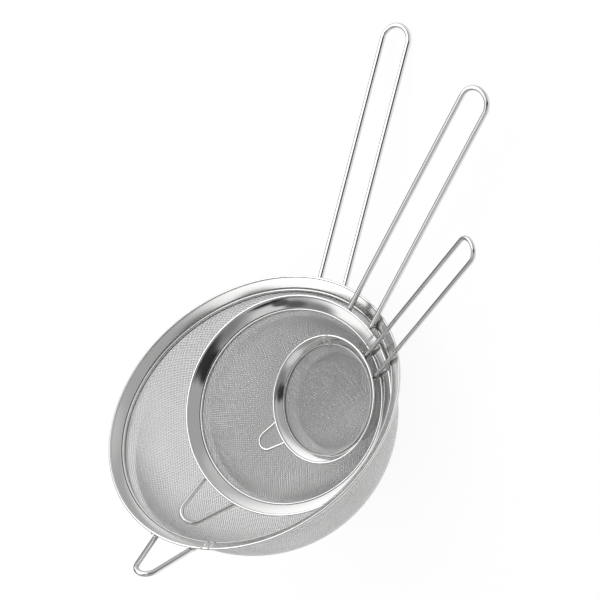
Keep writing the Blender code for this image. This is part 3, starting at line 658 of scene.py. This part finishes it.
def add_piece(name, sieve, points, faces, finish, node, uv=None):
    """A smooth mesh in the shared frame that rides on its sieve's body in place of a CAD node."""
    s = getattr(bpy.context.scene.sieve_set, sieve)
    points = placed(sieve, s, points)
    if not outward(points, faces):
        faces = [f[:, ::-1] for f in faces]
        uv = uv and [layer[:, ::-1] for layer in uv]
    mesh = bpy.data.meshes.new(name)
    mesh.vertices.add(len(points))
    mesh.vertices.foreach_set("co", points.astype(np.float32).ravel())
    sizes = np.concatenate([np.full(len(f), f.shape[1]) for f in faces])
    mesh.loops.add(int(sizes.sum()))
    mesh.loops.foreach_set("vertex_index", np.concatenate([f.ravel() for f in faces]).astype(np.int32))
    mesh.polygons.add(len(sizes))
    mesh.polygons.foreach_set("loop_start", np.append(0, np.cumsum(sizes)[:-1]).astype(np.int32))
    mesh.polygons.foreach_set("use_smooth", np.ones(len(sizes), bool))
    mesh.update(calc_edges=True)
    if uv:
        layer = mesh.uv_layers.new(name="UVMap")
        flat = np.concatenate([u.reshape(-1, 2) for u in uv]).astype(np.float32).ravel()
        layer.uv.foreach_set("vector", flat)
    if mesh.validate():
        raise RuntimeError(f"{name} has bad faces")
    mesh.materials.append(finish)
    piece = bpy.data.objects.new(name, mesh)
    bpy.context.scene.collection.objects.link(piece)
    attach(piece, sieve)
    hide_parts(node)
    return piece


def add_ring(sieve, name, node, section, turns, lift, finish):
    """A ring in place of a CAD node: its section carried round the axis."""
    points = ring_surface(section, turns, lift).reshape(-1, 3)
    quads, steps = grid_quads(len(turns), len(section), True, True)
    uv = [ring_uv(section, turns, steps)]
    return add_piece(f"{sieve}_{name}", sieve, points, [quads], finish, f"{sieve}_{node}", uv)


def add_wire(sieve, node, path, wire):
    """A bent wire in place of a CAD node, with both ends moved in along it by the height of their domes."""
    ways = unit(np.diff(path, axis=0)) * wire / 2
    path = np.vstack([path[0] + ways[0], path[1:-1], path[-1] - ways[-1]])
    points, faces, uv = tube_surface(path, np.full(len(path), wire / 2))
    add_piece(f"{sieve}_{node}_wire", sieve, points, faces, finish_of(bright_wire), f"{sieve}_{node}", uv)


def add_values(piece, name, values):
    """A number for each vertex of a piece, which its material reads by name."""
    piece.data.attributes.new(name, "FLOAT", "POINT").data.foreach_set("value", values.astype(np.float32))


# Materials

class Value:
    """A number that changes over a surface. Sums, differences and products of it add Math nodes."""

    def __init__(self, surface, socket):
        self.surface = surface
        self.socket = socket

    def math(self, operation, first, second):
        return self.surface.node("ShaderNodeMath", {"operation": operation}, {0: first, 1: second})

    def __add__(self, other):
        return self.math("ADD", self, other)

    def __radd__(self, other):
        return self.math("ADD", other, self)

    def __sub__(self, other):
        return self.math("SUBTRACT", self, other)

    def __rsub__(self, other):
        return self.math("SUBTRACT", other, self)

    def __mul__(self, other):
        return self.math("MULTIPLY", self, other)

    def __rmul__(self, other):
        return self.math("MULTIPLY", other, self)


class Surface:
    """Node tree of a material or a world, with one method that adds any node."""

    def __init__(self, tree):
        self.tree = tree

    def node(self, kind, settings=None, inputs=None, output=0):
        """Adds a node, its settings first, then the values or links of its sockets. Returns an output."""
        made = self.tree.nodes.new(kind)
        for key, value in (settings or {}).items():
            setattr(made, key, value)
        for key, value in (inputs or {}).items():
            self.fill(made.inputs[key], value)
        return Value(self, made.outputs[output])

    def fill(self, socket, value):
        """Links a Value to a socket, or sets the socket to a plain value."""
        if isinstance(value, Value):
            self.tree.links.new(value.socket, socket)
        else:
            socket.default_value = value

    def noise(self, source, scale, detail):
        """Soft noise between 0 and 1 on texture coordinates, stretched by one number or by three."""
        where = self.node("ShaderNodeTexCoord", output=source)
        stretch = tuple(np.broadcast_to(scale, 3))
        where = self.node("ShaderNodeVectorMath", {"operation": "MULTIPLY"}, {0: where, 1: stretch})
        return self.node("ShaderNodeTexNoise", None, {"Vector": where, "Scale": 1.0, "Detail": detail})

    def mix(self, factor, first, second):
        """A colour between two colours."""
        return self.node("ShaderNodeMix", {"data_type": "RGBA"}, {0: factor, 6: first, 7: second}, 2)

    def tones(self, factor, base, dull, bright):
        """A colour between a duller and a brighter shade of a base colour."""
        return self.mix(factor, shaded(base, dull), shaded(base, bright))

    def bump(self, height, distance, below=None):
        """Surface normal bent by a height, on top of another bump."""
        inputs = {"Height": height, "Distance": distance, "Strength": 1.0}
        if below is not None:
            inputs["Normal"] = below
        return self.node("ShaderNodeBump", None, inputs)


def steel(slot):
    """An empty steel for a slot: its material, its surface and its shader's sockets."""
    made = bpy.data.materials.new(f"{slot}_finish")
    made["slot"] = slot
    made.use_nodes = True
    shader = made.node_tree.nodes["Principled BSDF"]
    shader.inputs["Metallic"].default_value = 1.0
    return made, Surface(made.node_tree), shader.inputs


def shaded(base, change):
    """A colour made lighter or darker by a share, with full alpha."""
    return (*(min(1.0, c * change) for c in base), 1.0)


def polished_steel(finish, roughness):
    """Polished sheet: fine lines round the ring, slow waves, faint smears and dark lines of painted shade."""
    made, surface, sockets = steel("polished_steel")
    lines = surface.noise("UV", (70.0, 9000.0, 1.0), 3.0)
    smears = surface.noise("Object", 46.0, 4.0)
    waves = surface.noise("Object", 55.0, 0.0)
    # Painted shade in the groove and on the skirt's lower edge, read from the rim's attribute
    painted_shade = surface.node("ShaderNodeAttribute", {"attribute_name": "painted_shade"}, None, "Fac")
    unshaded_tone = surface.tones(smears, finish.polished, 0.95, 1.05)
    # The painted shade darkens the rim's colour nearly to black
    surface.fill(sockets["Base Color"], surface.mix(0.92 * painted_shade, unshaded_tone, shaded(finish.polished, 0.08)))
    surface.fill(sockets["Roughness"], roughness + 0.05 * smears + 0.03 * lines - 0.03)
    waved = surface.bump(waves, 0.00012)
    surface.fill(sockets["Normal"], surface.bump(lines, 0.0000004, waved))
    return made


def bright_wire(finish):
    """Drawn wire: fine die lines along its length and faint smears."""
    made, surface, sockets = steel("bright_wire")
    lines = surface.noise("UV", (90.0, 7000.0, 1.0), 3.0)
    smears = surface.noise("Object", 60.0, 4.0)
    surface.fill(sockets["Base Color"], surface.tones(smears, finish.wire, 0.93, 1.05))
    surface.fill(sockets["Roughness"], finish.wire_roughness + 0.08 * smears + 0.04 * lines - 0.04)
    surface.fill(sockets["Normal"], surface.bump(lines, 0.0000012))
    return made


def woven_mesh(finish):
    """Cloth wire: satin, painted light where proud and painted shade where covered, tone changing slowly."""
    made, surface, sockets = steel("woven_mesh")
    slow = surface.noise("Object", 38.0, 2.0)
    fine = surface.noise("Object", 900.0, 1.0)
    # Painted light and shade on each wire: lit where it stands proud, shaded where another wire covers it
    painted_light = surface.node("ShaderNodeAttribute", {"attribute_name": "painted_light"}, None, "Fac")
    # Random tone at two scales plus the painted light and shade
    bright = 0.2 * slow + 0.2 * fine + 0.6 * painted_light
    surface.fill(sockets["Base Color"], surface.tones(bright, finish.cloth, 0.42, 1.08))
    surface.fill(sockets["Roughness"], finish.cloth_roughness + 0.16 * fine - 0.08)
    surface.fill(sockets["Metallic"], 0.45)
    return made


def clamp_steel(finish):
    """Rolled strip: long lines round the ring."""
    made, surface, sockets = steel("clamp_steel")
    lines = surface.noise("UV", (50.0, 5000.0, 1.0), 3.0)
    stains = surface.noise("Object", 70.0, 3.0)
    surface.fill(sockets["Base Color"], surface.tones(stains, finish.clamp, 0.86, 1.10))
    surface.fill(sockets["Roughness"], finish.clamp_roughness + 0.14 * lines - 0.05)
    surface.fill(sockets["Normal"], surface.bump(lines, 0.000002))
    return made


def weld_steel(finish):
    """Weld bead: grainy metal with a straw heat tint in patches."""
    made, surface, sockets = steel("weld_steel")
    tint = surface.noise("Object", 420.0, 3.0)
    grain = surface.noise("Object", 3200.0, 2.0)
    surface.fill(sockets["Base Color"], surface.mix(tint, shaded(finish.weld, 1.1), shaded(finish.heat, 1.0)))
    surface.fill(sockets["Roughness"], finish.weld_roughness + 0.2 * grain - 0.1)
    surface.fill(sockets["Normal"], surface.bump(grain, 0.00003))
    return made


def finish_of(maker):
    """The material that a maker function makes, made once."""
    return bpy.data.materials.get(f"{maker.__name__}_finish") or maker(bpy.context.scene.sieve_set.finish)


def studio_world(studio):
    """White sky, which the steel reflects as a grey studio with white panels and dark gaps."""
    world = bpy.data.worlds.new("studio")
    bpy.context.scene.world = world
    world.use_nodes = True
    surface = Surface(world.node_tree)
    way = surface.node("ShaderNodeTexCoord", output="Generated")

    def patch(azimuth, height, outer, inner):
        """1 within the inner angle of a direction, 0 outside the outer one, eased between."""
        a, h = math.radians(azimuth), math.radians(height)
        towards = (math.sin(a) * math.cos(h), -math.cos(a) * math.cos(h), math.sin(h))
        facing = surface.node("ShaderNodeVectorMath", {"operation": "DOT_PRODUCT"}, {0: way, 1: towards},
                              "Value")
        return surface.node("ShaderNodeMapRange", {"interpolation_type": "SMOOTHSTEP"},
                            {0: facing, 1: math.cos(math.radians(outer)), 2: math.cos(math.radians(inner))})

    level = studio.grey
    for azimuth, height, outer, inner, light in STUDIO_PANELS:
        part = patch(azimuth, height, outer, inner)
        level = level * (1.0 - part) + light * part
    glossy = surface.node("ShaderNodeLightPath", output="Is Glossy Ray")
    strength = 1.0 + glossy * (level - 1.0)
    surface.fill(world.node_tree.nodes["Background"].inputs["Color"], (1.0, 1.0, 1.0, 1.0))
    surface.fill(world.node_tree.nodes["Background"].inputs["Strength"], strength)


def studio_floor(studio):
    """Pale floor: plain white to the camera and in the steel, with a matt share that keeps the shadow."""
    half = studio.floor_size / 2
    mesh = bpy.data.meshes.new("studio_floor")
    corners = [(-half, -half, 0), (half, -half, 0), (half, half, 0), (-half, half, 0)]
    mesh.from_pydata(corners, [], [(0, 1, 2, 3)])
    made = bpy.data.materials.new("studio_floor")
    made.use_nodes = True
    surface = Surface(made.node_tree)
    sockets = made.node_tree.nodes["Principled BSDF"].inputs
    sockets["Base Color"].default_value = (*studio.floor, 1.0)
    sockets["Roughness"].default_value = 1.0
    sockets["Specular IOR Level"].default_value = 0.0
    matt = Value(surface, made.node_tree.nodes["Principled BSDF"].outputs[0])
    white = surface.node("ShaderNodeEmission", None, {"Color": (1.0, 1.0, 1.0, 1.0), "Strength": 1.0})
    camera, glossy, passing = (surface.node("ShaderNodeLightPath", output=f"Is {kind} Ray")
                               for kind in ("Camera", "Glossy", "Transmission"))
    seen = (camera + glossy + passing) * studio.floor_white
    mixed = surface.node("ShaderNodeMixShader", None, {0: seen, 1: matt, 2: white})
    surface.fill(made.node_tree.nodes["Material Output"].inputs["Surface"], mixed)
    mesh.materials.append(made)
    floor = bpy.data.objects.new("studio_floor", mesh)
    bpy.context.scene.collection.objects.link(floor)


def studio_lamp(studio):
    """Large soft lamp above the object, behind it on the handles' side."""
    lamp = bpy.data.lights.new("key_lamp", "AREA")
    lamp.shape = "DISK"
    lamp.size = studio.key_size
    lamp.energy = studio.key_power
    made = bpy.data.objects.new("key_lamp", lamp)
    made.location = studio.key_place
    made.rotation_euler = (Vector(studio.key_target) - made.location).to_track_quat("-Z", "Y").to_euler()
    bpy.context.scene.collection.objects.link(made)


def studio_camera(studio):
    """Camera on the line from the target to its side, with the picture's upward direction turned as asked."""
    back = Vector(studio.camera_back).normalized()
    up = Vector(studio.camera_up)
    up = (up - up.dot(back) * back).normalized()
    turn = Matrix((up.cross(back), up, back)).transposed().to_4x4()
    lens = bpy.data.cameras.new("photo_camera")
    lens.lens = studio.camera_lens
    lens.sensor_width = 36.0
    lens.clip_start = 0.05
    camera = bpy.data.objects.new("photo_camera", lens)
    eye = Vector(studio.camera_target) + back * studio.camera_distance
    camera.matrix_world = Matrix.Translation(eye) @ turn
    bpy.context.scene.collection.objects.link(camera)
    bpy.context.scene.camera = camera


# Operators, panel and registration

class SieveOperator:
    """Runs make(sieve, its sizes, the common sizes) for each of the three sieves."""

    bl_options = {"REGISTER", "UNDO"}

    def execute(self, context):
        group = context.scene.sieve_set
        for sieve in SIEVES:
            self.make(sieve, getattr(group, sieve), group.sheet)
        return {"FINISHED"}


class SIEVE_OT_rim_bands(SieveOperator, Operator):
    """Rims: rolled lip, crowned slope, turned-down skirt and lapped joint."""

    bl_idname = "sieve.rim_bands"
    bl_label = "Rim bands"

    def make(self, sieve, s, sheet):
        common = bpy.context.scene.sieve_set
        section, on_top, painted_shade = rim_section(s, sheet)
        lap_half = sheet.lap_length / 2 / lip_circle(s, sheet)
        facets = max(160, round(common.ring_facets * (s.rim_diameter / common.large.rim_diameter) ** 0.6))
        turns = ring_turns(facets, s.lap_angle, lap_half)
        from_lap = (turns - s.lap_angle + math.pi) % (2 * math.pi) - math.pi
        away = np.abs(from_lap) / lap_half
        height = sheet.lap_height * (hill(away, 0.72, 0.28) + 0.3 * np.clip((1.0 - away) / 0.2, 0, 1))
        along = unit(np.roll(section, -1, axis=0) - np.roll(section, 1, axis=0))
        normal = np.stack([along[:, 1], -along[:, 0]], axis=1) * on_top[:, None]
        lift = height[:, None, None] * normal[None]
        finish = polished_steel(common.finish, s.rim_roughness)
        rim = add_ring(sieve, "rim", "rim_band", section, turns, lift, finish)
        # Painted shade for each vertex, in the groove and on the skirt's lower edge
        add_values(rim, "painted_shade", np.tile(painted_shade, len(turns)))


class SIEVE_OT_clamp_rings(SieveOperator, Operator):
    """Clamp rings: upright strips with rounded edges round the hem of each mesh."""

    bl_idname = "sieve.clamp_rings"
    bl_label = "Clamp rings"

    def make(self, sieve, s, sheet):
        common = bpy.context.scene.sieve_set
        top = -s.rim_fall - sheet.hem_drop
        inside = clamp_inside(s, sheet)
        outside = inside + sheet.sheet
        ease = sheet.sheet * 0.45
        turn = np.linspace(0, 2 * math.pi, 24, endpoint=False)
        corner = np.stack([np.where(np.cos(turn) > 0, outside - ease, inside + ease),
                           np.where(np.sin(turn) > 0, top - ease, top - sheet.clamp_height + ease)], axis=1)
        section = corner + ease * np.stack([np.cos(turn), np.sin(turn)], axis=1)
        facets = max(128, round(common.clamp_facets * s.rim_diameter / common.large.rim_diameter))
        turns = np.linspace(0, 2 * math.pi, facets, endpoint=False)
        add_ring(sieve, "clamp", "clamp_ring", section, turns, np.zeros((1, 1, 2)), finish_of(clamp_steel))


class SIEVE_OT_mesh_bowls(SieveOperator, Operator):
    """Bowls: two sets of wires woven over and under each other, pressed to the bowl's shape."""

    bl_idname = "sieve.mesh_bowls"
    bl_label = "Mesh bowls"

    def make(self, sieve, s, sheet):
        parts = 2 if sieve == "large" else 1
        for crossways, family in enumerate(("warp", "weft")):
            for part in range(parts):
                points, faces, painted_light = cloth_wires(s, sheet, bool(crossways), part, parts)
                cloth = add_piece(f"{sieve}_{family}_{part + 1}", sieve, points, faces, finish_of(woven_mesh),
                                  f"{sieve}_mesh_bowl")
                # Painted light and shade for each vertex, read by the cloth's material
                add_values(cloth, "painted_light", painted_light)


class SIEVE_OT_handles(SieveOperator, Operator):
    """Handles: long wire loops."""

    bl_idname = "sieve.handles"
    bl_label = "Handles"

    def make(self, sieve, s, sheet):
        add_wire(sieve, "handle", handle_path(s, sheet), s.handle_wire)


class SIEVE_OT_hooks(SieveOperator, Operator):
    """Rest hooks: wires bent into a V with a round end."""

    bl_idname = "sieve.hooks"
    bl_label = "Rest hooks"

    def make(self, sieve, s, sheet):
        add_wire(sieve, "hook", hook_path(s, sheet), s.hook_wire)


class SIEVE_OT_welds(SieveOperator, Operator):
    """Weld beads beside the roots of handles and hooks."""

    bl_idname = "sieve.welds"
    bl_label = "Weld beads"

    def make(self, sieve, s, sheet):
        handle, hook = handle_path(s, sheet), hook_corners(s, sheet)
        leg = s.leg_spacing / 2
        lip = np.array([math.sqrt(lip_circle(s, sheet) ** 2 - leg ** 2), leg])
        beads = {
            "handle_weld": weld_line(s, sheet, handle[0][:2], lip, s.handle_wire, 1),
            "hook_weld": weld_line(s, sheet, hook[0][:2], hook[1][:2], s.hook_wire, -1),
        }
        for name, ends in beads.items():
            for side, mirror in (("left", 1), ("right", -1)):
                points, faces, uv = weld_surface(ends * [1, mirror, 1], sheet.weld_radius)
                add_piece(f"{sieve}_{name}_bead_{side}", sieve, points, faces, finish_of(weld_steel),
                          f"{sieve}_{name}_{side}", uv)


class SIEVE_OT_stage(Operator):
    """Floor, light and camera."""

    bl_idname = "sieve.stage"
    bl_label = "Studio"
    bl_options = {"REGISTER", "UNDO"}

    def execute(self, context):
        studio = context.scene.sieve_set.studio
        context.scene.view_settings.view_transform = "Standard"
        studio_world(studio)
        studio_floor(studio)
        studio_lamp(studio)
        studio_camera(studio)
        return {"FINISHED"}


OPERATORS = (SIEVE_OT_rim_bands, SIEVE_OT_clamp_rings, SIEVE_OT_mesh_bowls, SIEVE_OT_handles, SIEVE_OT_hooks,
             SIEVE_OT_welds, SIEVE_OT_stage)


class SIEVE_PT_panel(Panel):
    """Lists the pieces and the sizes in the sidebar."""

    bl_idname = "SIEVE_PT_panel"
    bl_label = "Nested hand sieves"
    bl_space_type = "VIEW_3D"
    bl_region_type = "UI"
    bl_category = "Sieves"

    def draw(self, context):
        group = context.scene.sieve_set
        for operator in OPERATORS:
            self.layout.operator(operator.bl_idname)
        for name in (*SIEVES, "sheet", "finish", "studio"):
            part = getattr(group, name)
            column = self.layout.box().column()
            column.label(text=group.bl_rna.properties[name].name)
            for key in part.__annotations__:
                column.prop(part, key)


GROUPS = (LargeSieveSizes, MediumSieveSizes, SmallSieveSizes, SheetSizes, SteelFinish, StudioSizes, SieveSet)
CLASSES = (*GROUPS, *OPERATORS, SIEVE_PT_panel)


def register():
    """Registers the classes and puts the sizes on the scene."""
    for made in CLASSES:
        bpy.utils.register_class(made)
    bpy.types.Scene.sieve_set = PointerProperty(type=SieveSet)


def unregister():
    """Takes the sizes and the classes away again."""
    del bpy.types.Scene.sieve_set
    for made in reversed(CLASSES):
        bpy.utils.unregister_class(made)


def main():
    register()
    for operator in OPERATORS:
        getattr(bpy.ops.sieve, operator.bl_idname.split(".")[1])()


if __name__ == "__main__":
    main()
